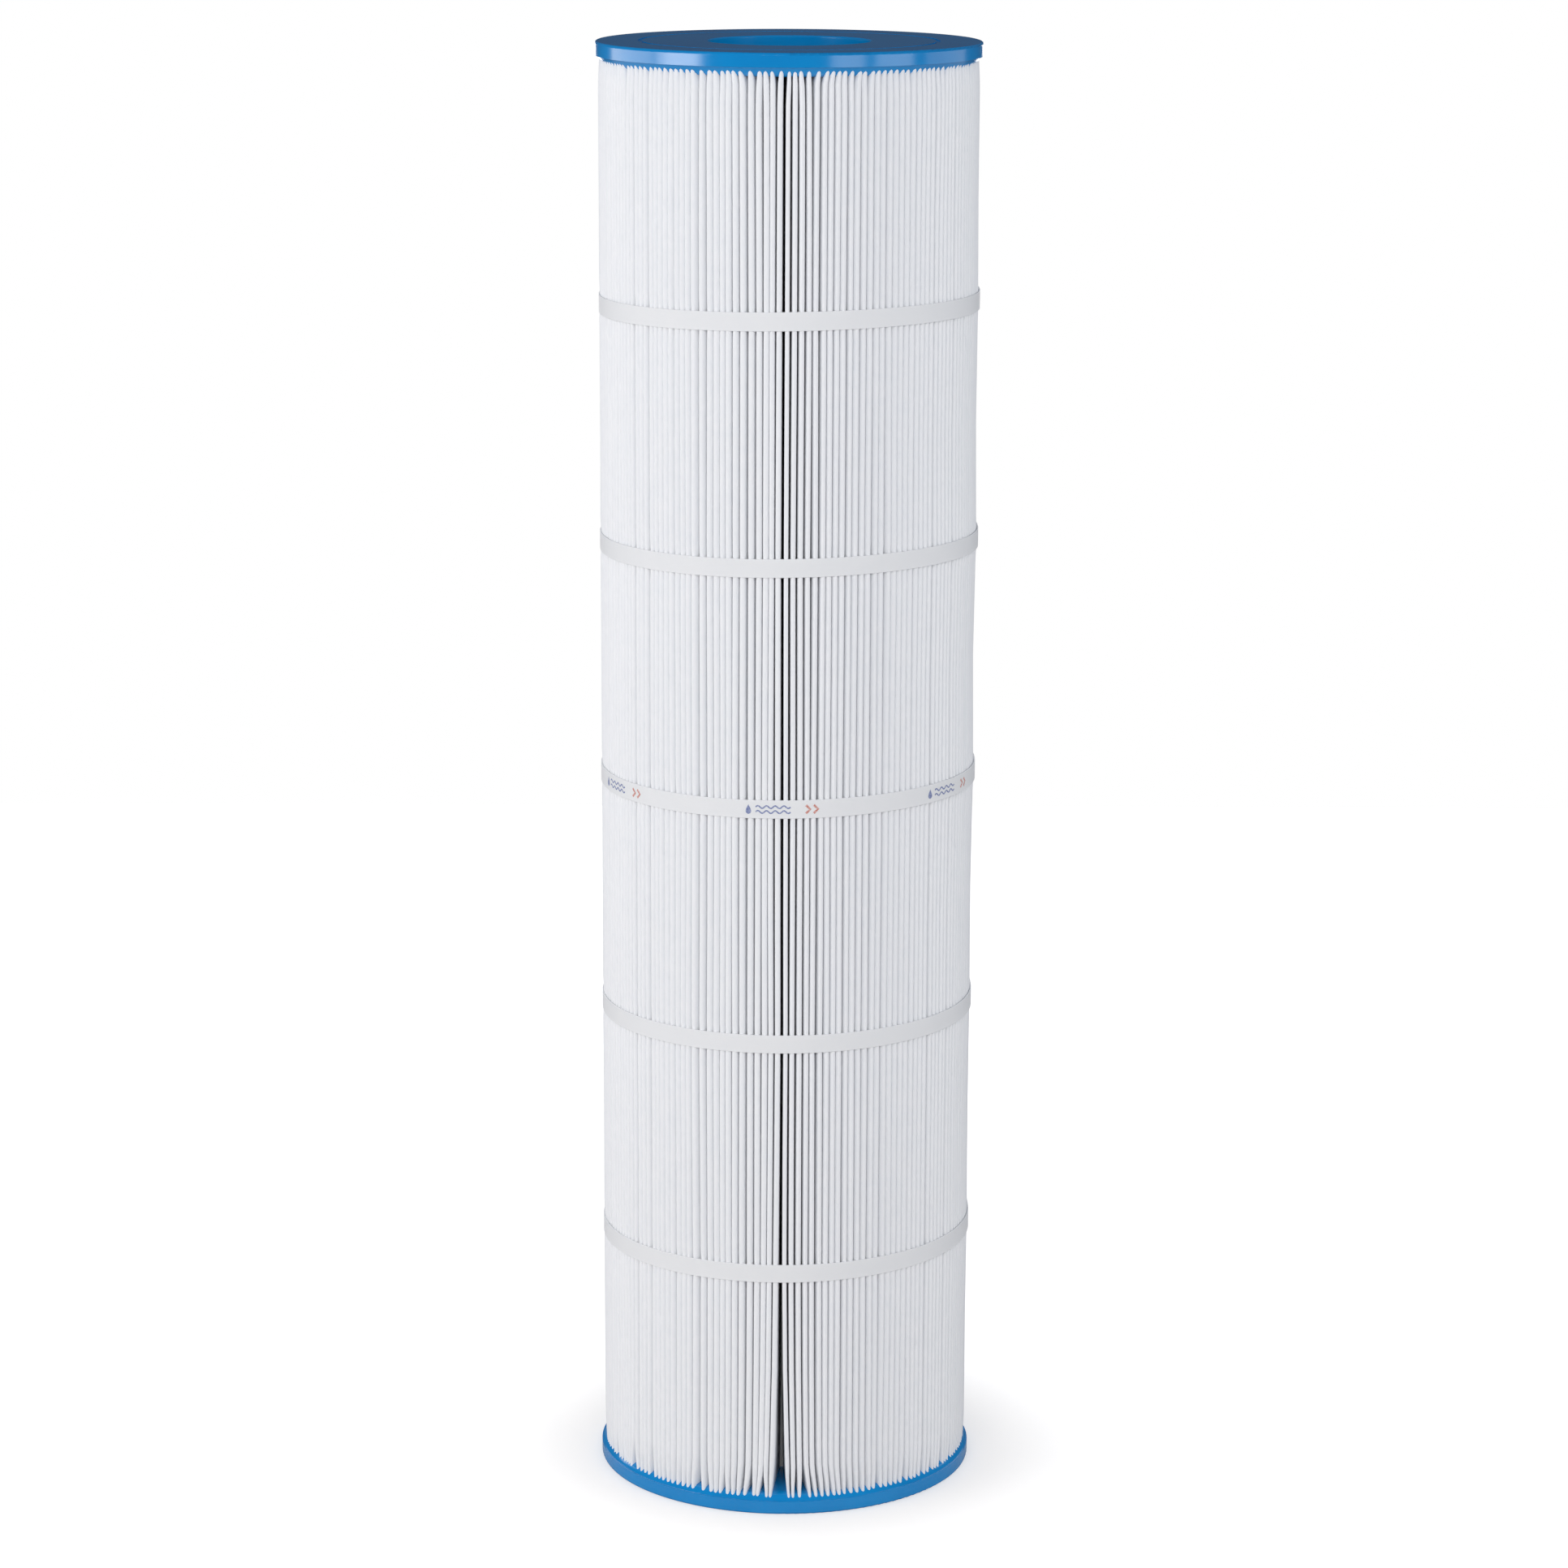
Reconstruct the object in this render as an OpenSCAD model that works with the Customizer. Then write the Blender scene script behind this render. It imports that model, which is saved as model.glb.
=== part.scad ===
// Pleated pool and spa filter cartridge, open at both ends.
// A pleated polyester sheet stands round a perforated core made of moulded lengths.
// A cast urethane end cap bonds both together at each end, and five straps hold the pleats.
// Millimetres, +Z up, origin at the centre of the bottom face.

/* [Overall] */
// Height over both end caps
overall_h = 681; // [560:1:760]
// Outside diameter of the end caps
cap_d = 178; // [172:1:190]
// Diameter of the water outlet hole through each end cap
bore_d = 74.6; // [60:0.2:78]

/* [End caps] */
// Height of the cap's outer rim, which is also its thickness
rim_h = 6.4; // [5:0.2:12]
// Height of the hub lip that stands inside the core
hub_h = 9; // [8:0.5:16]
// Depth of the groove that the core's end is set in
seat_depth = 3.4; // [2:0.2:4]
// Radius of the outer edge of the cap's face
rim_edge_r = 1.2; // [0.4:0.1:2]
// Radius of the edges of the hub
hub_edge_r = 0.8; // [0.3:0.1:1.2]
// Radius of the witness groove in the cap's face
ring_r = 68.3; // [60:0.1:76]
// Width of the witness groove
ring_w = 2; // [1:0.5:4]
// Depth of the witness groove
ring_depth = 0.6; // [0.3:0.1:1.5]

/* [Core] */
// Outside diameter of the core
core_d = 86; // [85:0.5:88]
// Wall of the core
core_wall = 3; // [2.4:0.2:3.2]
// Moulded lengths that the core is built from
core_sections = 5; // [2:1:6]
// Windows round the core in one row
window_columns = 12; // [6:1:12]
// Rows of windows in one length
window_rows = 8; // [3:1:9]
// Width of a window
window_w = 14; // [6:0.5:14]
// Height of a window
window_h = 10; // [4:0.5:10]
// Length of the spigot that joins one length to the next
spigot_l = 6; // [5:0.5:10]

/* [Pleated media] */
// Number of pleats
pleats = 168; // [100:2:168]
// Thickness of the filter sheet
media_t = 0.5; // [0.3:0.05:0.5]
// Outside diameter over the pleat tips
pleat_d = 175; // [165:1:175]
// Width of one pleat from face to face
pleat_w = 2.4; // [1.6:0.1:2.6]
// Direction of the seam round the axis, in degrees from +X
seam_angle = 268.3; // [0:0.1:359.9]

/* [Straps] */
// Number of straps round the pleats
straps = 5; // [1:1:5]
// Distance from one strap to the next
strap_pitch = 111; // [60:1:130]
// Width of a strap
strap_w = 8.5; // [6:0.5:14]
// Thickness of a strap
strap_t = 0.6; // [0.4:0.1:0.8]
// Angle that the strap's ends lap over each other
lap_angle = 28; // [16:4:40]
// Direction that the laps start from round the axis, in degrees from +X
lap_start = 16; // [0:4:40]
// Thickness of the adhesive pad in a lap
pad_t = 0.3; // [0.2:0.05:0.5]

/* [Hidden] */
$fn = 96;
eps = 0.01;
cap_r = cap_d / 2;
bore_r = bore_d / 2;
core_r = core_d / 2;
core_in_r = core_r - core_wall;

// Core: the wall is halved at each joint, and the lugs snap into slots
core_z = rim_h - seat_depth;
section_l = (overall_h - 2 * core_z) / core_sections;
joint_r = core_in_r + core_wall / 2;
row_pitch = (section_l - 2 * spigot_l) / window_rows;
window_reach = 2 * core_wall;
lugs = 4;
lug_w = 6;
lug_h = 2;
lug_proud = 1;
lug_play = 0.3;

// Media: a fold is the inner turn of the sheet between two pleats
media_z = rim_h;
media_h = overall_h - 2 * rim_h;
pitch_angle = 360 / pleats;
tip_r = pleat_d / 2;
fold_r = core_r + 0.5;
fold_gap = 0.2;
tip_chamfer = 0.5;
fold_half_w = (fold_r + media_t) * PI / pleats - fold_gap / 2;
tip_half_w = pleat_w / 2;

// Seam: adhesive between the first and the last leg of the sheet
seam_from = 0.03;
seam_to = 0.24;

// Straps: the outer end ramps up over the inner end, with the adhesive pad between them
strap_r = tip_r;
strap_step = 4;
ramp_angle = 12;
lap_rise = strap_t + pad_t;
pad_margin = 0.75;

// Rounds the convex corner at the origin of the first quadrant
module corner_cut(r) {
    difference() {
        translate([-eps, -eps]) square(r + eps);
        translate([r, r]) circle(r);
    }
}

// Half section of the bottom cap: x is the radius, y the height over its outer face
module cap_section() {
    difference() {
        union() {
            translate([bore_r, 0]) square([cap_r - bore_r, rim_h]);
            translate([bore_r, 0]) square([core_in_r - bore_r, hub_h]);
        }
        translate([core_in_r, core_z]) square([core_wall, rim_h]);
        translate([ring_r - ring_w / 2, -eps]) square([ring_w, ring_depth + eps]);
        translate([cap_r, 0]) mirror([1, 0]) corner_cut(rim_edge_r);
        translate([bore_r, 0]) corner_cut(hub_edge_r);
        translate([bore_r, hub_h]) mirror([0, 1]) corner_cut(hub_edge_r);
    }
}

module end_cap() {
    color([0.0, 0.45, 0.8]) rotate_extrude() cap_section();
}

module bottom_end_cap() {
    end_cap();
}

module top_end_cap() {
    translate([0, 0, overall_h]) mirror([0, 0, 1]) end_cap();
}

module ring(r_in, r_out, h) {
    rotate_extrude() translate([r_in, 0]) square([r_out - r_in, h]);
}

// Rows of windows, each cutter standing clear of the core's axis
module core_windows() {
    for (row = [0 : window_rows - 1])
        for (col = [0 : window_columns - 1])
            rotate([0, 0, (col + 0.5) * 360 / window_columns])
                translate([core_in_r - core_wall / 2, -window_w / 2,
                           spigot_l + (row + 0.5) * row_pitch - window_h / 2])
                    cube([window_reach, window_w, window_h]);
}

// Blocks for the snap lugs and for their slots, which are larger by the play
module lug_blocks(play) {
    for (i = [0 : lugs - 1])
        rotate([0, 0, i * 360 / lugs])
            translate([joint_r - 0.5, -lug_w / 2 - play, (spigot_l - lug_h) / 2 - play])
                cube([0.5 + lug_proud + play, lug_w + 2 * play, lug_h + 2 * play]);
}

// One length: a socket at its foot and a spigot on its head, or a plain end in a cap
module core_section(i) {
    has_socket = i > 1;
    has_spigot = i < core_sections;
    color([0.93, 0.93, 0.9])
        translate([0, 0, core_z + (i - 1) * section_l])
            union() {
                difference() {
                    ring(core_in_r, core_r, section_l);
                    core_windows();
                    if (has_socket) {
                        translate([0, 0, -eps]) ring(core_in_r - eps, joint_r, spigot_l + eps);
                        lug_blocks(lug_play);
                    }
                }
                if (has_spigot)
                    translate([0, 0, section_l]) {
                        ring(core_in_r, joint_r, spigot_l);
                        lug_blocks(0);
                    }
            }
}

function polar(r, side, angle) =
    [r * cos(angle) - side * sin(angle), r * sin(angle) + side * cos(angle)];

function pleat_angle(i) = seam_angle + (i + 0.5) * pitch_angle;

// Outline of the sheet: out along its outer face, and back along its inner face
function outer_face(a) = [
    polar(fold_r + media_t, -fold_half_w, a),
    polar(tip_r - tip_chamfer, -tip_half_w, a),
    polar(tip_r, -tip_half_w + tip_chamfer, a),
    polar(tip_r, tip_half_w - tip_chamfer, a),
    polar(tip_r - tip_chamfer, tip_half_w, a),
    polar(fold_r + media_t, fold_half_w, a)
];

function inner_face(a) = [
    polar(fold_r, fold_half_w - media_t, a),
    polar(tip_r - media_t, tip_half_w - media_t, a),
    polar(tip_r - media_t, -tip_half_w + media_t, a),
    polar(fold_r, -fold_half_w + media_t, a)
];

module pleated_media() {
    outline = concat(
        [for (i = [0 : pleats - 1]) each outer_face(pleat_angle(i))],
        [for (i = [pleats - 1 : -1 : 0]) each inner_face(pleat_angle(i))]
    );
    color([0.92, 0.93, 0.94])
        translate([0, 0, media_z]) linear_extrude(media_h) polygon(outline);
}

// Point on a leg's outer face, at a share of the way from the fold to the tip
function leg_point(share, side, angle) =
    polar((fold_r + media_t) * (1 - share) + (tip_r - tip_chamfer) * share,
          side * (fold_half_w * (1 - share) + tip_half_w * share), angle);

module seam_adhesive() {
    first = pleat_angle(0);
    last = pleat_angle(pleats - 1);
    color([0.86, 0.86, 0.84])
        translate([0, 0, media_z]) linear_extrude(media_h)
            polygon([
                leg_point(seam_from, 1, last),
                leg_point(seam_to, 1, last),
                leg_point(seam_to, -1, first),
                leg_point(seam_from, -1, first)
            ]);
}

function strap_z(i) = overall_h / 2 + (i - (straps + 1) / 2) * strap_pitch;

// How far the strap stands off the pleats at an angle from its inner end
function rise(angle) =
    lap_rise * min(1, max(0, (angle - 360 + strap_step + ramp_angle) / ramp_angle));

// Strip of a given thickness between two angles, centred on its height
module strip(r_in, t, w, from, to) {
    angles = [from : strap_step : to];
    outline = concat(
        [for (a = angles) polar(r_in + rise(a), 0, a)],
        [for (a = [to : -strap_step : from]) polar(r_in + rise(a) + t, 0, a)]
    );
    translate([0, 0, -w / 2]) linear_extrude(w) polygon(outline);
}

module hold_band(i) {
    color([0.9, 0.92, 0.94, 0.8])
        translate([0, 0, strap_z(i)])
            rotate([0, 0, lap_start])
                strip(strap_r, strap_t, strap_w, 0, 360 + lap_angle);
}

module band_adhesive(i) {
    color([0.86, 0.86, 0.84])
        translate([0, 0, strap_z(i)])
            rotate([0, 0, lap_start])
                strip(strap_r + strap_t, pad_t, strap_w - 2 * pad_margin,
                      strap_step, lap_angle - strap_step);
}

bottom_end_cap();
top_end_cap();
pleated_media();
seam_adhesive();
for (i = [1 : core_sections])
    core_section(i);
for (i = [1 : straps])
    hold_band(i);
for (i = [1 : straps])
    band_adhesive(i);
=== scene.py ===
"""Pleated pool and spa filter cartridge: its looks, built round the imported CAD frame.

The end caps and the core's lengths are the CAD nodes with better materials. The pleated sheet, the
straps, their adhesive and the seam are remade here, because the real ones lean, bunch and sag.
Lengths are in metres, angles in radians unless a name says degrees. The front is -Y.
"""
import math

import bpy
import numpy as np
from mathutils import Euler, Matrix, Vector


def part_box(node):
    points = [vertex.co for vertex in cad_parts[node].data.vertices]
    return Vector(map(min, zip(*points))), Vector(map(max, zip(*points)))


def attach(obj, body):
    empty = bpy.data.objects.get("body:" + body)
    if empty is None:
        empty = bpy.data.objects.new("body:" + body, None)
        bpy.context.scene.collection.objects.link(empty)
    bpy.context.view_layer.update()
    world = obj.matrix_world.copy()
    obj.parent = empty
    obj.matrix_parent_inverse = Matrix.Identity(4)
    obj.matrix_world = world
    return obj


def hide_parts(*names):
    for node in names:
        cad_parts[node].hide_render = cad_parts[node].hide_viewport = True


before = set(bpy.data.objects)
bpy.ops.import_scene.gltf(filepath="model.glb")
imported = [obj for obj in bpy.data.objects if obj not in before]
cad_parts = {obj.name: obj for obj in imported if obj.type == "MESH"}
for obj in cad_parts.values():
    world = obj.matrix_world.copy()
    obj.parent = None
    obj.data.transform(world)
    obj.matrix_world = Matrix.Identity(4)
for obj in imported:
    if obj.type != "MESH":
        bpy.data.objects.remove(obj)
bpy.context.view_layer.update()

MM = 0.001
TAU = 2 * math.pi

# ---------------------------------------------------------------- sizes read from the frame
CAP_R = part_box("bottom_end_cap")[1].y
MEDIA_LOW, MEDIA_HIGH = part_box("pleated_media")
TIP_R = MEDIA_HIGH.y
CORE_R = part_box("core_section_1")[1].y
RIM_LOW, RIM_HIGH = MEDIA_LOW.z, MEDIA_HIGH.z
STRAP_COUNT = 5
STRAP_BOXES = [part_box(f"hold_band_{i + 1}") for i in range(STRAP_COUNT)]
STRAP_W = STRAP_BOXES[0][1].z - STRAP_BOXES[0][0].z

# ---------------------------------------------------------------- driving sizes of the soft pieces
PLEATS = 168
SHEET_T = 0.5 * MM
SEAM_ANGLE = math.radians(268.3)
PITCH = TAU / PLEATS
FOLD_R = CORE_R + 0.5 * MM
FOLD_GAP = 0.2 * MM
PLEAT_HALF_W = 1.42 * MM
EVEN_SEAM_GAP = 0.75 * MM
FOOT_GAPE = 5.6 * MM
STRAP_T = 0.6 * MM
PAD_T = 0.3 * MM
LAP_START = 16
LAP_DEGREES = 28
STRAP_SINK = 0.45 * MM
SEAM_BEAD = (0.03, 0.24)  # shares of the fold's depth that the seam's adhesive fills
# Gaps near the seam that stand open: the pleat before the gap, and the logarithm of how many times
# wider than an even gap it is.
OPEN_GAPS = {0: 1.2, 1: 1.2, 2: 1.0, 4: 1.2, 8: 0.8, 157: 0.7, 161: 0.8, 163: 0.8, 166: 1.1}
# For each strap, from the bottom: how far it stands out near +X, and how far it tilts up there.
STRAP_SLACK = np.array([0.3, 0.3, 0.8, 1.0, 0.5]) * MM
STRAP_TILT = np.array([1.2, 0.9, 0.7, 0.9, 1.1]) * MM
STRAP_MIDDLES = np.array([(low.z + high.z) / 2 for low, high in STRAP_BOXES])
SEED = 11


# ---------------------------------------------------------------- materials
def new_material(name):
    """An empty node material, its node tree, and a Principled shader wired to its output."""
    material = bpy.data.materials.new(name)
    material.use_nodes = True
    tree = material.node_tree
    tree.nodes.clear()
    output = tree.nodes.new("ShaderNodeOutputMaterial")
    shader = tree.nodes.new("ShaderNodeBsdfPrincipled")
    tree.links.new(shader.outputs["BSDF"], output.inputs["Surface"])
    return material, tree, shader


def object_coordinates(tree, scale=(1, 1, 1)):
    """Object coordinates in metres, stretched by a scale for each axis."""
    source = tree.nodes.new("ShaderNodeTexCoord")
    mapping = tree.nodes.new("ShaderNodeMapping")
    mapping.inputs["Scale"].default_value = scale
    tree.links.new(source.outputs["Object"], mapping.inputs["Vector"])
    return mapping.outputs["Vector"]


def noise(tree, vector, size, detail=3.0, roughness=0.55, distortion=0.0):
    """Noise whose features are about size metres across."""
    node = tree.nodes.new("ShaderNodeTexNoise")
    node.inputs["Scale"].default_value = 1 / size
    node.inputs["Detail"].default_value = detail
    node.inputs["Roughness"].default_value = roughness
    node.inputs["Distortion"].default_value = distortion
    tree.links.new(vector, node.inputs["Vector"])
    return node.outputs["Fac"]


def ramp(tree, factor, *stops):
    """Colours or grey levels at positions along a factor."""
    node = tree.nodes.new("ShaderNodeValToRGB")
    while len(node.color_ramp.elements) < len(stops):
        node.color_ramp.elements.new(0.5)
    for element, (position, colour) in zip(node.color_ramp.elements, stops):
        element.position = position
        element.color = (*colour, 1) if hasattr(colour, "__len__") else (colour, colour, colour, 1)
    tree.links.new(factor, node.inputs["Fac"])
    return node.outputs["Color"]


def combine(tree, operation, a, b):
    """One Math node on two sockets or numbers."""
    node = tree.nodes.new("ShaderNodeMath")
    node.operation = operation
    for socket, value in zip(node.inputs, (a, b)):
        if isinstance(value, (int, float)):
            socket.default_value = value
        else:
            tree.links.new(value, socket)
    return node.outputs["Value"]


def bump(tree, shader, height, distance, strength=1.0):
    """Bump of the given depth in metres on a shader's normal."""
    node = tree.nodes.new("ShaderNodeBump")
    node.inputs["Strength"].default_value = strength
    node.inputs["Distance"].default_value = distance
    tree.links.new(height, node.inputs["Height"])
    tree.links.new(node.outputs["Normal"], shader.inputs["Normal"])


def urethane_material():
    """Cast blue polyurethane: glossy, a little orange peel, and faint clouds in the pigment."""
    material, tree, shader = new_material("blue_urethane")
    at = object_coordinates(tree)
    clouds = noise(tree, at, 30 * MM, detail=4)
    tree.links.new(
        ramp(tree, clouds, (0.3, (0.0, 0.24, 0.615)), (0.7, (0.0, 0.27, 0.665))),
        shader.inputs["Base Color"],
    )
    shader.inputs["Specular IOR Level"].default_value = 0.0
    shader.inputs["Coat Weight"].default_value = 1.0
    shader.inputs["Coat Roughness"].default_value = 0.17
    shader.inputs["Coat IOR"].default_value = 1.65
    skin = noise(tree, at, 5 * MM, detail=2)
    tree.links.new(ramp(tree, skin, (0.3, 0.25), (0.75, 0.35)), shader.inputs["Roughness"])
    bump(tree, shader, noise(tree, at, 9 * MM, detail=2), 0.02 * MM)
    return material


def media_material():
    """White spun-bonded polyester: fine fibres, soft clouds of thick and thin, no shine."""
    material, tree, shader = new_material("white_polyester")
    at = object_coordinates(tree)
    clouds = noise(tree, at, 6 * MM, detail=5, roughness=0.6)
    tree.links.new(
        ramp(tree, clouds, (0.3, (0.91, 0.926, 0.95)), (0.7, (0.942, 0.951, 0.969))),
        shader.inputs["Base Color"],
    )
    shader.inputs["Roughness"].default_value = 0.85
    shader.inputs["Specular IOR Level"].default_value = 0.15
    along = object_coordinates(tree, (1, 1, 0.25))
    fibres = noise(tree, along, 0.5 * MM, detail=6, roughness=0.7, distortion=1.5)
    coarse = noise(tree, at, 2.5 * MM, detail=3)
    height = combine(tree, "ADD", fibres, combine(tree, "MULTIPLY", coarse, 1.5))
    bump(tree, shader, height, 0.08 * MM)
    return material


def strap_material():
    """Translucent white plastic tape: the pleats show faintly through it."""
    material, tree, shader = new_material("white_strap")
    at = object_coordinates(tree)
    haze = noise(tree, at, 12 * MM, detail=3)
    tree.links.new(
        ramp(tree, haze, (0.3, (0.945, 0.957, 0.972)), (0.7, (0.96, 0.969, 0.981))),
        shader.inputs["Base Color"],
    )
    shader.inputs["Alpha"].default_value = 0.85
    shader.inputs["Specular IOR Level"].default_value = 0.1
    scuffs = noise(tree, object_coordinates(tree, (1, 1, 6)), 4 * MM, detail=4)
    tree.links.new(ramp(tree, scuffs, (0.3, 0.42), (0.7, 0.56)), shader.inputs["Roughness"])
    bump(tree, shader, scuffs, 0.05 * MM)
    return material


def core_material():
    """White moulded plastic, satin, with fine sink and flow marks."""
    material, tree, shader = new_material("white_core_plastic")
    at = object_coordinates(tree)
    flow = noise(tree, object_coordinates(tree, (1, 1, 0.4)), 9 * MM, detail=4, distortion=0.6)
    tree.links.new(
        ramp(tree, flow, (0.3, (0.74, 0.74, 0.70)), (0.7, (0.82, 0.82, 0.79))),
        shader.inputs["Base Color"],
    )
    tree.links.new(ramp(tree, flow, (0.3, 0.38), (0.7, 0.5)), shader.inputs["Roughness"])
    bump(tree, shader, noise(tree, at, 1.2 * MM, detail=3), 0.03 * MM)
    return material


def hot_melt_material():
    """Waxy milky adhesive with small ripples."""
    material, tree, shader = new_material("hot_melt")
    at = object_coordinates(tree)
    body = noise(tree, at, 3 * MM, detail=3)
    tree.links.new(
        ramp(tree, body, (0.3, (0.76, 0.77, 0.76)), (0.7, (0.83, 0.84, 0.82))),
        shader.inputs["Base Color"],
    )
    shader.inputs["Roughness"].default_value = 0.35
    bump(tree, shader, body, 0.15 * MM)
    return material


def ink_material(name, dark, light):
    """Printing ink on the strap, worn thin in specks."""
    material, tree, shader = new_material(name)
    specks = noise(tree, object_coordinates(tree), 0.5 * MM, detail=3)
    tree.links.new(ramp(tree, specks, (0.4, dark), (0.65, light)), shader.inputs["Base Color"])
    shader.inputs["Roughness"].default_value = 0.5
    return material


# ---------------------------------------------------------------- meshes
def add_piece(name, vertices, faces, material, smooth=True):
    """A mesh piece of the object that rides on the one rigid body."""
    mesh = bpy.data.meshes.new(name)
    mesh.from_pydata(np.asarray(vertices).tolist(), [], faces)
    mesh.materials.append(material)
    if smooth:
        mesh.shade_smooth()
    piece = bpy.data.objects.new(name, mesh)
    bpy.context.scene.collection.objects.link(piece)
    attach(piece, "root")
    return piece


def grid_faces(rows, columns, first=0, close_rows=False, close_columns=False, flip=False):
    """Quads over a grid of vertices numbered row by row."""
    r = np.arange(rows if close_rows else rows - 1)
    c = np.arange(columns if close_columns else columns - 1)
    r, c = np.meshgrid(r, c, indexing="ij")
    r2, c2 = (r + 1) % rows, (c + 1) % columns
    quads = np.stack(
        [r * columns + c, r * columns + c2, r2 * columns + c2, r2 * columns + c], axis=-1
    ).reshape(-1, 4)
    return first + (quads[:, ::-1] if flip else quads)


def polar(radius, angle):
    """Points at a radius and an angle about the axis, as x and y in the last axis."""
    return np.stack([radius * np.cos(angle), radius * np.sin(angle)], axis=-1)


def smoothstep(x):
    x = np.clip(x, 0, 1)
    return x * x * (3 - 2 * x)


def lathe(name, profile, material, segments=256):
    """A ring whose closed profile is a list of (radius, height), counter-clockwise."""
    profile = np.array(profile)
    angle = np.arange(segments) * TAU / segments
    flat = polar(profile[None, :, 0], angle[:, None])
    height = np.broadcast_to(profile[None, :, 1], flat.shape[:2])
    vertices = np.concatenate([flat, height[..., None]], axis=-1).reshape(-1, 3)
    faces = grid_faces(segments, len(profile), close_rows=True, close_columns=True, flip=True)
    return add_piece(name, vertices, faces.tolist(), material)


# ---------------------------------------------------------------- the pleated sheet
def row_heights():
    """Heights of the sheet's rows: close together at the resin and the straps, wider between."""
    from_end = np.array([-2.0, 0.6, 2.4, 4.6, 7.5, 11.5, 17, 26]) * MM
    at_strap = np.array([-9.5, -4.0, 4.0, 9.5]) * MM
    between = (STRAP_MIDDLES[:-1] + STRAP_MIDDLES[1:]) / 2
    outside = [
        (RIM_LOW + STRAP_MIDDLES[0]) / 2 + 8 * MM,
        (RIM_HIGH + STRAP_MIDDLES[-1]) / 2 - 8 * MM,
    ]
    return np.sort(np.concatenate([
        RIM_LOW + from_end, RIM_HIGH - from_end, between, outside,
        (STRAP_MIDDLES[:, None] + at_strap[None, :]).ravel(),
    ]))


def strap_slack(turn):
    """How much of its slack a strap has at an angle in degrees: all of it near +X."""
    turn = (turn + 180) % 360 - 180
    return np.exp(-(((turn + 8) / 38) ** 2))


def pleat_noise(rng, reach):
    """Noise along the row of pleats with a standard deviation of 1, smooth over reach pleats."""
    raw = rng.normal(size=PLEATS + 2 * reach)
    window = np.hanning(2 * reach + 1)
    return np.convolve(raw, window, mode="valid") / math.sqrt((window**2).sum())


def wandering(rng, heights, reach, knots):
    """Pleat noise that changes slowly with height: rows by pleats."""
    patterns = np.array([pleat_noise(rng, reach) for _ in range(knots)])
    place = (heights - heights[0]) / (heights[-1] - heights[0]) * (knots - 1)
    lower = np.clip(place.astype(int), 0, knots - 2)
    share = smoothstep(place - lower)[:, None]
    return patterns[lower] * (1 - share) + patterns[lower + 1] * share


def without_drift(drift, reach, share):
    """Takes a share of the slow part out of a drift along the row of pleats."""
    window = np.hanning(2 * reach + 1)
    window /= window.sum()
    around = np.concatenate([drift[:, -reach:], drift, drift[:, :reach]], axis=1)
    slow = np.array([np.convolve(row, window, mode="valid") for row in around])
    return drift - share * slow


def drift_from_gaps(spread, half_w, seam_gap):
    """How far each tip is from its even place, when the gaps are as wide as spread says."""
    gaps = np.exp(np.clip(spread, -1.6, 1.3))[:, :-1]
    room = TAU * TIP_R - 2 * half_w.sum(axis=1) - seam_gap
    gaps = gaps * (room / gaps.sum(axis=1))[:, None]
    steps = gaps + half_w[:, :-1] + half_w[:, 1:]
    start = (seam_gap / 2 + half_w[:, 0])[:, None]
    place = start + np.concatenate([0 * start, steps.cumsum(axis=1)], axis=1)
    return place / TIP_R - (np.arange(PLEATS) + 0.5) * PITCH


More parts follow.
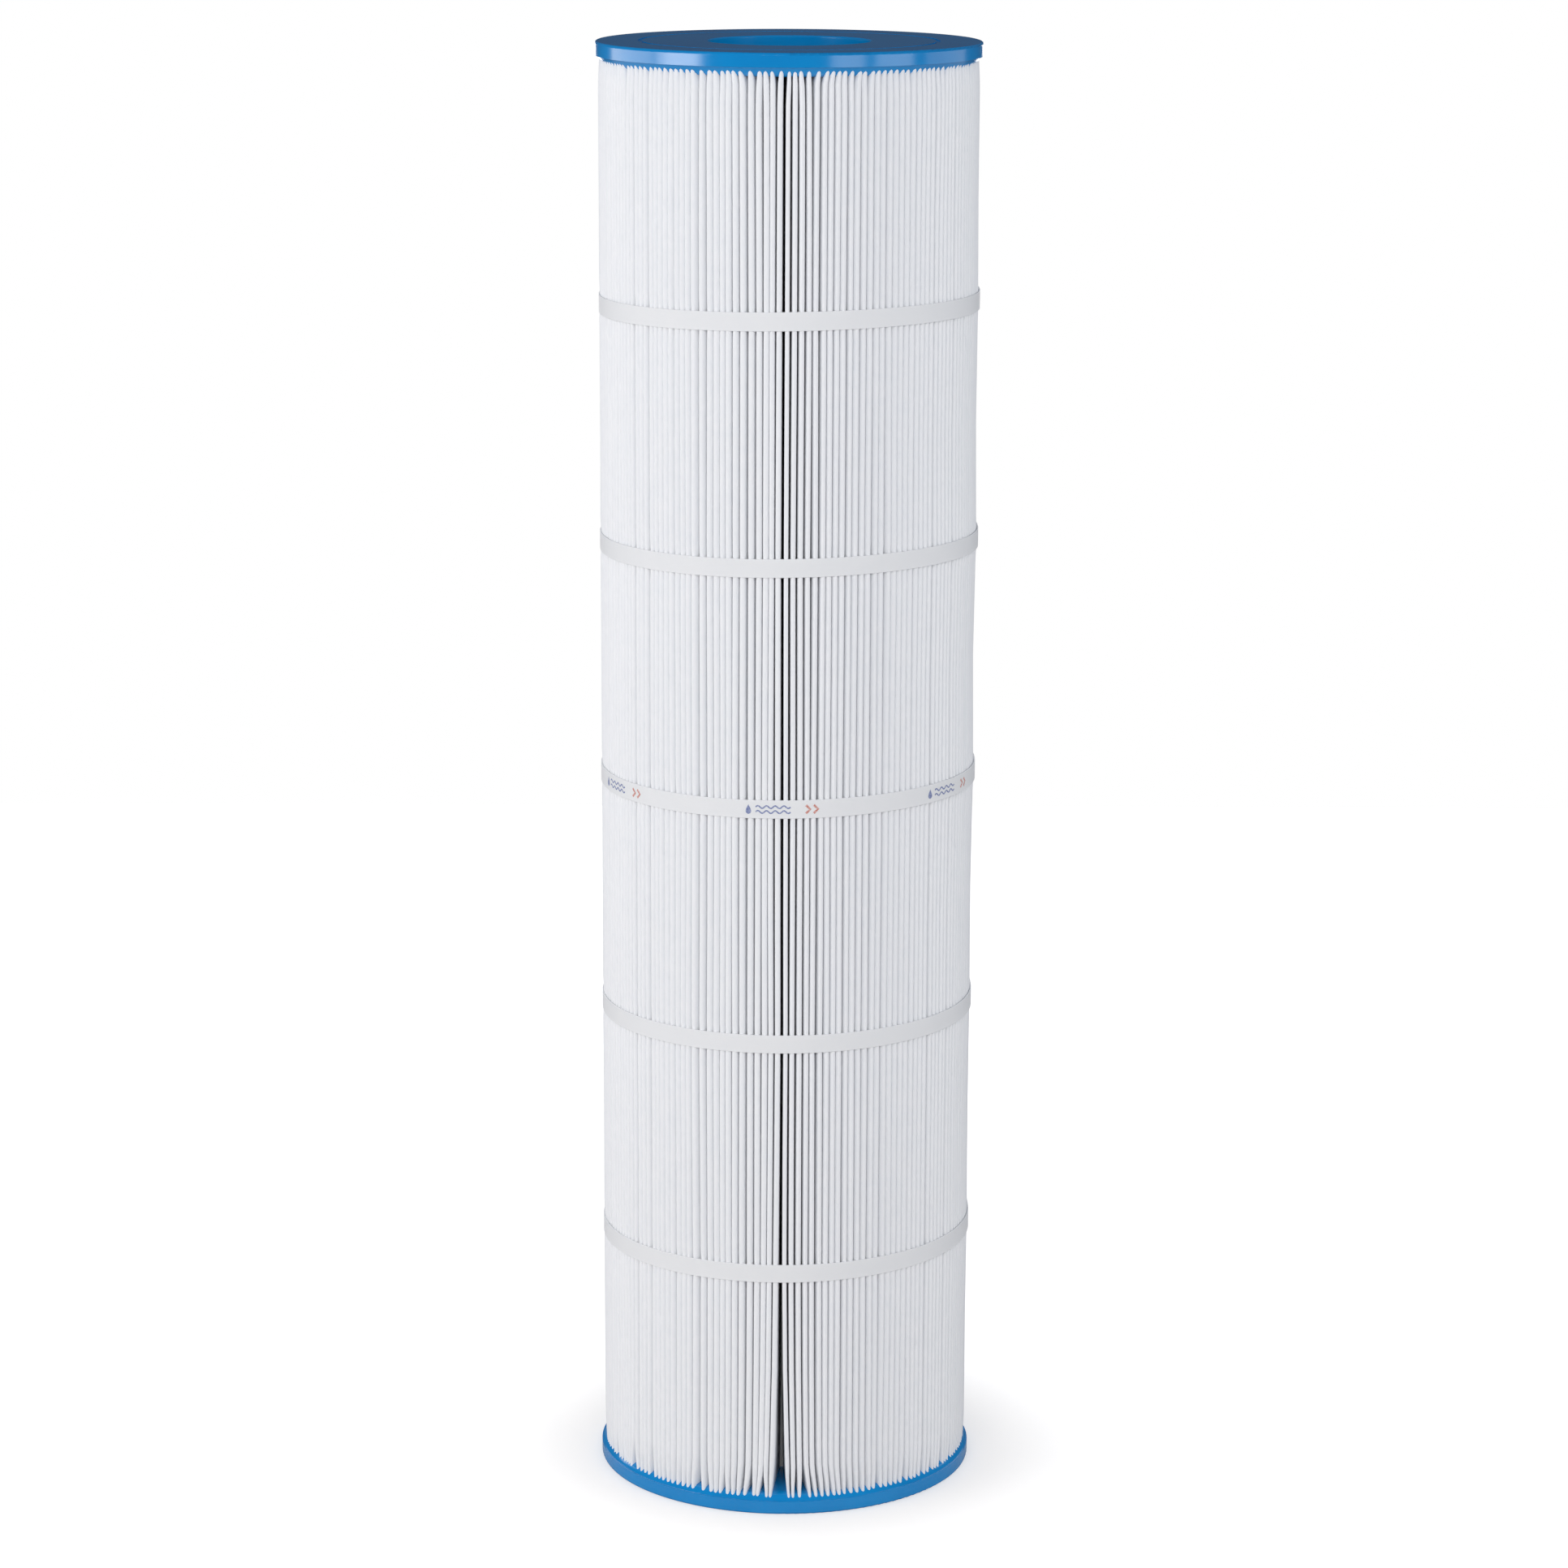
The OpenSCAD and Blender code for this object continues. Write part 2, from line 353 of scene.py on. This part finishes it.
def pleat_layout():
    """Angle, half width and outer radius of every pleat at every row."""
    rng = np.random.default_rng(SEED)
    heights = row_heights()
    from_end = np.minimum(heights - RIM_LOW, RIM_HIGH - heights)
    free = smoothstep(from_end / (20 * MM))[:, None]
    from_seam = np.minimum(np.arange(PLEATS), PLEATS - 1 - np.arange(PLEATS))

    # pleats are plump where they run free and pinched where the resin holds them
    half_w = PLEAT_HALF_W * (1 + 0.06 * rng.normal(size=PLEATS))[None, :]
    right_of_seam = np.exp(-np.arange(PLEATS) / 6)
    left_of_seam = np.exp(-np.arange(PLEATS)[::-1] / 4)
    half_w = half_w * (1 - 0.3 * right_of_seam - 0.14 * left_of_seam)[None, :]
    at_foot = from_end == heights - RIM_LOW
    from_resin = from_end / np.where(at_foot, 20 * MM, 9 * MM)
    pinch = np.where(at_foot, 0.28, 0.16)[:, None] + 0.12 * np.exp(-from_seam / 8)
    half_w = half_w * (1 - pinch * (1 - smoothstep(from_resin))[:, None])

    # gaps are uneven all the way up, and more so at the resin, where pleats stand in groups
    always = pleat_noise(rng, 1)[None, :]
    spread = 0.85 * always + 0.3 * wandering(rng, heights, 1, 7)
    for pleat, wider in OPEN_GAPS.items():
        spread[:, pleat] = wider + 0.3 * spread[:, pleat]
    cast = np.stack([pleat_noise(rng, 1), pleat_noise(rng, 1)])
    cast = cast[(heights > (RIM_LOW + RIM_HIGH) / 2).astype(int)] + 0.45 * always
    low_gape = np.exp(-(heights - RIM_LOW) / (45 * MM))
    seam_gap = EVEN_SEAM_GAP + FOOT_GAPE * low_gape
    even_gap = np.full(len(heights), EVEN_SEAM_GAP)
    drift = without_drift(drift_from_gaps(spread, half_w, even_gap), 15, 0.9)
    at_resin = drift_from_gaps(cast, half_w, even_gap) - drift
    drift = drift + without_drift(at_resin, 4, 1.0) * (1 - free)

    # the seam's gap gapes at the foot and pushes its neighbours aside
    gape = (seam_gap / 2)[:, None] * np.exp(-from_seam / 3.5)[None, :] / TIP_R
    drift = drift + gape * np.where(np.arange(PLEATS) < PLEATS / 2, 1, -1)
    angle = SEAM_ANGLE + (np.arange(PLEATS) + 0.5) * PITCH + drift

    # straps press the tips in, and lift those near +X, where they are slack
    from_strap = np.abs(heights[:, None] - STRAP_MIDDLES[None, :]).min(axis=1)
    pressed = np.exp(-((from_strap / (5.5 * MM)) ** 4))
    pressed = pressed[:, None] * (1 - strap_slack(np.degrees(angle)))
    outer = TIP_R - 0.12 * MM * np.abs(wandering(rng, heights, 2, 9))
    outer = outer * (1 - pressed) + (TIP_R - STRAP_SINK) * pressed - 0.6 * MM * (1 - free) ** 2
    for middle, slack in zip(STRAP_MIDDLES, STRAP_SLACK):
        beside = np.exp(-(((heights - middle) / (14 * MM)) ** 2))[:, None]
        outer = outer + slack * beside * strap_slack(np.degrees(angle))
    return heights, keep_apart(angle, half_w), half_w, outer


def keep_apart(angle, half_w):
    """Moves pleats that would touch until a hair's gap is left between their tips."""
    hair = 0.08 * MM
    needed = (half_w + np.roll(half_w, -1, axis=1) + hair) / TIP_R
    for _ in range(60):
        gap = np.roll(angle, -1, axis=1) - angle
        gap[:, -1] += TAU
        push = np.maximum(needed - gap, 0) / 2
        angle = angle - push + np.roll(push, 1, axis=1)
    return angle


def sheet_surface(angle, half_w, outer, inset):
    """Points of one face of the sheet: rows, pleats, points of a pleat, x and y.

    inset is 0 on the outer face and the sheet's thickness on the face towards the core, which
    has a coarser outline.
    """
    middle = SEAM_ANGLE + (np.arange(PLEATS) + 0.5) * PITCH
    middle = np.broadcast_to(middle, angle.shape)
    foot = polar(FOLD_R + SHEET_T - inset, middle)
    sideways = polar(np.ones_like(middle), middle + TAU / 4)
    foot_half_w = ((FOLD_R + SHEET_T) * PITCH - FOLD_GAP) / 2 - inset
    tip = polar(outer - half_w, angle)
    out = tip - foot
    out /= np.linalg.norm(out, axis=-1, keepdims=True)
    across = np.stack([-out[..., 1], out[..., 0]], axis=-1)
    w = (half_w - inset)[..., None]
    turns = np.linspace(0, math.pi, 3 if inset else 5)
    points = [tip + w * (out * math.sin(turn) - across * math.cos(turn)) for turn in turns]
    if not inset:
        waist_at, waist_share = 0.72, 0.86
        waist = foot + waist_at * (tip - foot)
        points = [waist - waist_share * w * across, *points, waist + waist_share * w * across]
    points = [foot - foot_half_w * sideways, *points, foot + foot_half_w * sideways]
    return np.stack(points, axis=2)


def with_heights(flat, heights):
    """Vertices of rows of flat points, row by row."""
    tall = np.broadcast_to(heights[:, None, None], flat.shape[:2] + (1,))
    return np.concatenate([flat, tall], axis=-1).reshape(-1, 3)


def pleated_sheet(material):
    """The whole sheet as one closed thin solid, from the seam round to the seam."""
    heights, angle, half_w, outer = pleat_layout()
    rows = len(heights)
    outside = sheet_surface(angle, half_w, outer, 0.0)
    inside = sheet_surface(angle, half_w, outer, SHEET_T)
    many, few = outside.shape[2], inside.shape[2]
    wide, narrow = PLEATS * many, PLEATS * few
    second = rows * wide
    faces = grid_faces(rows, wide).tolist()
    faces += grid_faces(rows, narrow, first=second, flip=True).tolist()

    # the sheet's cut edges: which point of the inner outline goes with each of the outer one
    partner = np.round(np.linspace(0, few - 1, many)).astype(int)
    partner = (np.arange(PLEATS)[:, None] * few + partner[None, :]).ravel()
    for row, order in ((0, 1), (rows - 1, -1)):
        a = row * wide + np.arange(wide)
        b = second + row * narrow + partner
        for k in range(wide - 1):
            edge = [a[k], b[k], b[k + 1], a[k + 1]] if b[k] != b[k + 1] else [a[k], b[k], a[k + 1]]
            faces.append([int(v) for v in edge[::order]])
    for column, twin, order in ((0, 0, -1), (wide - 1, narrow - 1, 1)):
        a = np.arange(rows) * wide + column
        b = second + np.arange(rows) * narrow + twin
        for k in range(rows - 1):
            faces.append([int(v) for v in (a[k], b[k], b[k + 1], a[k + 1])[::order]])

    vertices = np.concatenate([
        with_heights(outside.reshape(rows, -1, 2), heights),
        with_heights(inside.reshape(rows, -1, 2), heights),
    ])
    piece = add_piece("pleated_sheet", vertices, faces, material)
    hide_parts("pleated_media")
    return piece, heights, outside


def seam_bead(heights, legs, material):
    """The adhesive that fills the inner part of the gap between the first and the last leg."""
    first, last = legs[:, 0], legs[:, -1]
    inner, outer = SEAM_BEAD
    corners = [
        first[:, 0] * (1 - inner) + first[:, 1] * inner,
        first[:, 0] * (1 - outer) + first[:, 1] * outer,
        last[:, -1] * (1 - outer) + last[:, -2] * outer,
        last[:, -1] * (1 - inner) + last[:, -2] * inner,
    ]
    vertices = with_heights(np.stack(corners, axis=1), heights)
    rows = len(heights)
    faces = grid_faces(rows, 4, close_columns=True).tolist()
    faces += [[3, 2, 1, 0], [4 * rows - 4, 4 * rows - 3, 4 * rows - 2, 4 * rows - 1]]
    piece = add_piece("seam_bead", vertices, faces, material, smooth=False)
    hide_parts("seam_adhesive")
    return piece


# ---------------------------------------------------------------- straps
def strap_shape(number):
    """The radius and the height of a strap's inner face, at degrees from the strap's inner end."""
    slack = STRAP_SLACK[number]
    tilt = STRAP_TILT[number]
    lap_rise = STRAP_T + PAD_T

    def radius(degrees):
        loose = strap_slack(degrees + LAP_START)
        sink = STRAP_SINK * (1 - loose) - 0.05 * MM
        return TIP_R - sink + slack * loose + lap_rise * smoothstep((degrees - 344) / 12)

    def height(degrees):
        turn = np.radians(degrees + LAP_START)
        return STRAP_MIDDLES[number] + tilt * np.cos(turn) + 0.25 * MM * np.sin(2 * turn + number)

    return radius, height


def sweep_strip(name, radius, height, degrees, width, thickness, material):
    """A flat strip with chamfered edges that follows a strap's path, closed at its ends."""
    edge = min(0.12 * MM, thickness * 0.3)
    section = np.array([
        (0, -width / 2 + edge), (edge, -width / 2), (thickness - edge, -width / 2),
        (thickness, -width / 2 + edge), (thickness, 0), (thickness, width / 2 - edge),
        (thickness - edge, width / 2), (edge, width / 2), (0, width / 2 - edge), (0, 0),
    ])
    r = radius(degrees)[:, None] + section[None, :, 0]
    flat = polar(r, np.radians(degrees + LAP_START)[:, None])
    tall = (height(degrees)[:, None] + section[None, :, 1])[..., None]
    vertices = np.concatenate([flat, tall], axis=-1).reshape(-1, 3)
    rings, count = len(degrees), len(section)
    faces = grid_faces(rings, count, close_columns=True, flip=True).tolist()
    faces.append(list(range(count)))
    faces.append([(rings - 1) * count + k for k in reversed(range(count))])
    piece = add_piece(name, vertices, faces, material)
    piece.data.set_sharp_from_angle(angle=math.radians(30))
    return piece


def strap(number, strap_look, adhesive_look):
    """One strap with its lapped ends, and the pad of adhesive in the lap."""
    radius, height = strap_shape(number)
    step, pad_inset, pad_margin = 2.0, 3.0, 0.75 * MM
    band = sweep_strip(
        f"strap_{number + 1}", radius, height, np.arange(0, 360 + LAP_DEGREES + 0.1, step),
        STRAP_W, STRAP_T, strap_look,
    )
    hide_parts(f"hold_band_{number + 1}")
    pad = sweep_strip(
        f"strap_pad_{number + 1}", lambda degrees: radius(degrees) + STRAP_T, height,
        np.arange(pad_inset, LAP_DEGREES - pad_inset + 0.1, step),
        STRAP_W - 2 * pad_margin, PAD_T, adhesive_look,
    )
    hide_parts(f"band_adhesive_{number + 1}")


# ---------------------------------------------------------------- generic print on the middle strap
def stroke(points, half_w):
    """Outline strip of a stroke along points in the strap's plane: left and right edge points."""
    points = np.array(points, float)
    along = np.gradient(points, axis=0)
    along /= np.linalg.norm(along, axis=1, keepdims=True)
    aside = np.stack([-along[:, 1], along[:, 0]], axis=1) * half_w
    return points - aside, points + aside


def drop_edges(across, tall):
    """A water drop as two matching edges from its foot to its point."""
    share = np.linspace(0, 1, 13)
    half = across / 2 * np.sin(math.pi * share**0.62) * (1 - 0.25 * share)
    up = tall * (share - 0.5)
    return np.stack([-half, up], axis=1), np.stack([half, up], axis=1)


def print_on_strap(name, number, strips, material):
    """Thin ink solids on a strap's outer face. Each strip is two edges of (along, up) points."""
    radius, height = strap_shape(number)
    vertices, faces = [], []
    for left, right in strips:
        first = len(vertices)
        count = len(left)
        for lift in (0.01 * MM, 0.035 * MM):
            for edge in (left, right):
                for along, up in edge:
                    turn = math.degrees(along / (TIP_R + STRAP_T))
                    from_end = (turn - LAP_START) % 360
                    if from_end < LAP_DEGREES:
                        from_end += 360
                    out = float(radius(from_end)) + STRAP_T + lift
                    at = polar(out, math.radians(turn))
                    vertices.append((*at, float(height(from_end)) + up))
        low_l, low_r, high_l, high_r = (first + k * count for k in range(4))
        for k in range(count - 1):
            faces += [
                (high_l + k, high_r + k, high_r + k + 1, high_l + k + 1),
                (low_l + k, low_l + k + 1, low_r + k + 1, low_r + k),
                (low_l + k, high_l + k, high_l + k + 1, low_l + k + 1),
                (low_r + k, low_r + k + 1, high_r + k + 1, high_r + k),
            ]
        end = count - 1
        faces.append((low_l, low_r, high_r, high_l))
        faces.append((low_l + end, high_l + end, high_r + end, low_r + end))
    return add_piece(name, vertices, faces, material, smooth=False)


def strap_print(blue_ink, red_ink):
    """A drop and two waves, then two chevrons, repeated round the middle strap."""
    blue, red = [], []
    repeats, first_drop = 6, math.radians(258.5)
    wave_from, wave_l, wave_h, wave_apart = 3.4, 4, 0.6 * MM, 2.3 * MM
    arrow_from, arrow_pitch, arrow_l, arrow_half_h = 28.5 * MM, 3.6 * MM, 2 * MM, 1.9 * MM
    outer_r = TIP_R + STRAP_T
    for repeat in range(repeats):
        start = outer_r * first_drop + repeat * outer_r * TAU / repeats
        left, right = drop_edges(2.8 * MM, 4.6 * MM)
        blue.append((left + (start, 0), right + (start, 0)))
        for line in range(2):
            x = np.linspace(wave_from, wave_from + 4 * wave_l, 61) * MM
            y = wave_apart * (line - 0.5) + wave_h * np.sin((x / MM - wave_from) / wave_l * TAU)
            blue.append(stroke(np.stack([start + x, y], axis=1), 0.33 * MM))
        for arrow in range(2):
            tip = start + arrow_from + arrow_pitch * arrow
            back = tip - arrow_l
            red.append(stroke([(back, arrow_half_h), (tip, 0), (back, -arrow_half_h)], 0.55 * MM))
    print_on_strap("strap_marks", STRAP_COUNT // 2, blue, blue_ink)
    print_on_strap("strap_arrows", STRAP_COUNT // 2, red, red_ink)


# ---------------------------------------------------------------- resin between the pleats
def potting(name, level, direction, depth, material):
    """The resin's level between the pleats: a fillet up from the cap's ledge, then a floor.

    rise gives radii in millimetres, and the share of the depth that the resin has there.
    """
    rise = [
        (88.3, -0.03), (87.9, 0.05), (87.3, 0.19), (86.7, 0.43), (86.0, 0.7),
        (84.8, 0.9), (82, 0.98), (60, 1), (CORE_R / MM + 0.05, 1), (CORE_R / MM + 0.05, -0.03),
    ]
    profile = [(r * MM, level + direction * share * depth) for r, share in rise]
    if direction < 0:
        profile = profile[::-1]
    return lathe(name, profile, material)


# ---------------------------------------------------------------- studio
def area_light(name, azimuth, distance, height, size, radiance, aim_z):
    """A warm soft box at an azimuth in degrees from the front, which the camera doesn't see."""
    light = bpy.data.lights.new(name, "AREA")
    light.shape = "RECTANGLE"
    light.size, light.size_y = size
    light.energy = radiance * math.pi * size[0] * size[1]
    light.color = (1.0, 0.957, 0.915)
    lamp = bpy.data.objects.new(name, light)
    turn = math.radians(azimuth)
    lamp.location = (distance * math.sin(turn), -distance * math.cos(turn), height)
    away = lamp.location - Vector((0, 0, aim_z))
    lamp.rotation_mode = "QUATERNION"
    lamp.rotation_quaternion = away.to_track_quat("Z", "Y")
    lamp.visible_camera = False
    bpy.context.scene.collection.objects.link(lamp)
    return lamp


def surroundings():
    """White to the camera, cool and dim as light, and nearly dark in reflections, because the
    glossy top face shows a dark room at a grazing angle."""
    world = bpy.data.worlds.new("studio")
    bpy.context.scene.world = world
    world.use_nodes = True
    tree = world.node_tree
    tree.nodes.clear()
    output = tree.nodes.new("ShaderNodeOutputWorld")
    path = tree.nodes.new("ShaderNodeLightPath")

    def surround(colour, strength):
        node = tree.nodes.new("ShaderNodeBackground")
        node.inputs["Color"].default_value = (*colour, 1)
        node.inputs["Strength"].default_value = strength
        return node.outputs["Background"]

    def choose(factor, otherwise, chosen):
        node = tree.nodes.new("ShaderNodeMixShader")
        tree.links.new(factor, node.inputs["Fac"])
        tree.links.new(otherwise, node.inputs[1])
        tree.links.new(chosen, node.inputs[2])
        return node.outputs["Shader"]

    lit = surround((0.82, 0.89, 1.0), 0.47)
    mirrored = choose(path.outputs["Is Glossy Ray"], lit, surround((1.0, 0.92, 0.85), 0.06))
    seen = choose(path.outputs["Is Camera Ray"], mirrored, surround((1, 1, 1), 1.0))
    tree.links.new(seen, output.inputs["Surface"])


def lamps():
    """Low strips round the sides that the cap's rims reflect, a high key light, and three fills."""
    strip_distance, strip_z, strip_h = 1.7, 0.6, 0.3
    for name, azimuth, length, radiance in (
        ("strip_box_left", -68, 0.9, 3.9), ("strip_far_left", -106, 1.3, 2.6),
        ("strip_box_right", 34, 0.6, 2.3), ("strip_far_right", 105, 1.2, 0.9),
    ):
        size = (length, strip_h)
        area_light(name, azimuth, strip_distance, strip_z, size, radiance, strip_z)

    half_way = 0.34
    key = area_light("soft_box_front", -5, 3.2, 1.5, (2.2, 0.9), 5.4, half_way)
    # seen from behind, its reflection would turn the whole top face white
    key.visible_glossy = False
    area_light("soft_box_left", -64, 3.0, 0.8, (1.4, 1.4), 2.4, half_way)
    area_light("soft_box_right", 64, 3.0, 0.8, (1.4, 1.4), 1.95, half_way)
    area_light("soft_box_back", 180, 3.0, 0.35, (1.8, 0.6), 3.6, half_way)


def floor():
    """A white floor that fades into the white background. To the camera it glows, less near the
    cartridge's foot: a painted shadow round the foot, over the real shade the lamps cast there.
    """
    floor_mesh = bpy.data.meshes.new("floor")
    side = 1.4
    floor_mesh.from_pydata(
        [(-side, -side, 0), (side, -side, 0), (side, side, 0), (-side, side, 0)], [], [(0, 1, 2, 3)]
    )
    material, tree, shader = new_material("white_floor")
    shader.inputs["Base Color"].default_value = (0.635, 0.61, 0.59, 1)
    shader.inputs["Roughness"].default_value = 0.9
    shader.inputs["Specular IOR Level"].default_value = 0.0
    shader.inputs["Emission Color"].default_value = (1, 1, 1, 1)
    path = tree.nodes.new("ShaderNodeLightPath")
    reach = tree.nodes.new("ShaderNodeVectorMath")
    reach.operation = "LENGTH"
    tree.links.new(object_coordinates(tree), reach.inputs[0])
    # the camera-only glow is weaker near the foot: a painted shadow round the cartridge's foot
    level = ramp(tree, reach.outputs["Value"], (0.1, 0.49), (0.155, 0.72), (0.6, 0.85))
    glow_with_painted_shadow = combine(tree, "MULTIPLY", path.outputs["Is Camera Ray"], level)
    tree.links.new(glow_with_painted_shadow, shader.inputs["Emission Strength"])
    floor_mesh.materials.append(material)
    ground = bpy.data.objects.new("floor", floor_mesh)
    bpy.context.scene.collection.objects.link(ground)


def camera():
    """A long lens in front of the cartridge and above its top, looking slightly down."""
    data = bpy.data.cameras.new("camera")
    data.lens = 106.1
    data.sensor_width = 36
    eye = bpy.data.objects.new("camera", data)
    aside, back, up = 0.0145, 24, 9.132  # in radii of the cap
    eye.location = (-aside * CAP_R, -back * CAP_R, up * CAP_R)
    look_down = math.radians(12.67)
    roll = 0.0032
    aim = Euler((math.pi / 2 - look_down, 0, 0), "XYZ").to_quaternion()
    eye.rotation_mode = "QUATERNION"
    eye.rotation_quaternion = aim @ Euler((0, 0, roll), "XYZ").to_quaternion()
    bpy.context.scene.collection.objects.link(eye)
    bpy.context.scene.camera = eye
    bpy.context.scene.view_settings.view_transform = "Standard"


# ---------------------------------------------------------------- the whole cartridge
camera()
surroundings()
lamps()
floor()

urethane = urethane_material()
core_plastic = core_material()
media = media_material()
tape = strap_material()
hot_melt = hot_melt_material()

for node_name, node_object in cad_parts.items():
    look = urethane if node_name.endswith("end_cap") else core_plastic
    node_object.data.materials.clear()
    node_object.data.materials.append(look)

sheet, sheet_heights, sheet_legs = pleated_sheet(media)
seam_bead(sheet_heights, sheet_legs, hot_melt)
for strap_number in range(STRAP_COUNT):
    strap(strap_number, tape, hot_melt)
strap_print(
    ink_material("blue_ink", (0.16, 0.2, 0.42), (0.4, 0.45, 0.62)),
    ink_material("red_ink", (0.6, 0.2, 0.16), (0.78, 0.5, 0.45)),
)
potting("potting_bottom", RIM_LOW, 1, 3.2 * MM, urethane)
potting("potting_top", RIM_HIGH, -1, 4.6 * MM, urethane)
